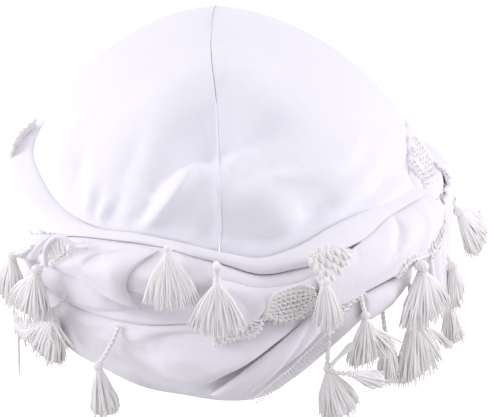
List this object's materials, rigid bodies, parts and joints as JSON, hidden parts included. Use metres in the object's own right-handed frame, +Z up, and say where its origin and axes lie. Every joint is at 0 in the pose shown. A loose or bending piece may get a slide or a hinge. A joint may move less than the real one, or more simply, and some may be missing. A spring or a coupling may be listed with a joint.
{
  "type": "durag with a wound and tasselled scarf",
  "caption": "Soft cap of two seamed panels with a scarf wound round its rim in rolled folds, edged with knotted net and hanging yarn tassels.",
  "frame": {"origin": "middle of the head opening, level with the lowest point of the rim at the brow", "axes": "+Z up towards the crown, -Y towards the brow, +X towards the wearer's left side, which is on the right of the front view"},
  "size_m": [0.2064, 0.2312, 0.1402],
  "materials": {
    "jersey": "matte, fine cotton knit",
    "scarf_cloth": "matte, soft cotton, thin and creased",
    "yarn": "matte, loosely twisted cotton yarn"
  },
  "bodies": {
    "root": {"crown_panel_left": "jersey", "crown_panel_right": "jersey", "lower_wrap": "scarf_cloth", "middle_wrap": "scarf_cloth", "brow_roll": "scarf_cloth", "left_swath": "scarf_cloth", "right_swath": "scarf_cloth", "centre_flap": "scarf_cloth", "right_fold": "scarf_cloth", "lower_swath": "scarf_cloth", "back_layer": "scarf_cloth", "net_left": "yarn", "net_right": "yarn", "net_centre": "yarn", "tassel_01": "yarn", "tassel_02": "yarn", "tassel_03": "yarn", "tassel_04": "yarn", "tassel_05": "yarn", "tassel_06": "yarn", "tassel_07": "yarn", "tassel_08": "yarn", "tassel_09": "yarn", "tassel_10": "yarn", "tassel_11": "yarn", "tassel_12": "yarn", "tassel_13": "yarn", "tassel_14": "yarn", "tassel_15": "yarn", "tassel_16": "yarn"}
  },
  "joints": []
}
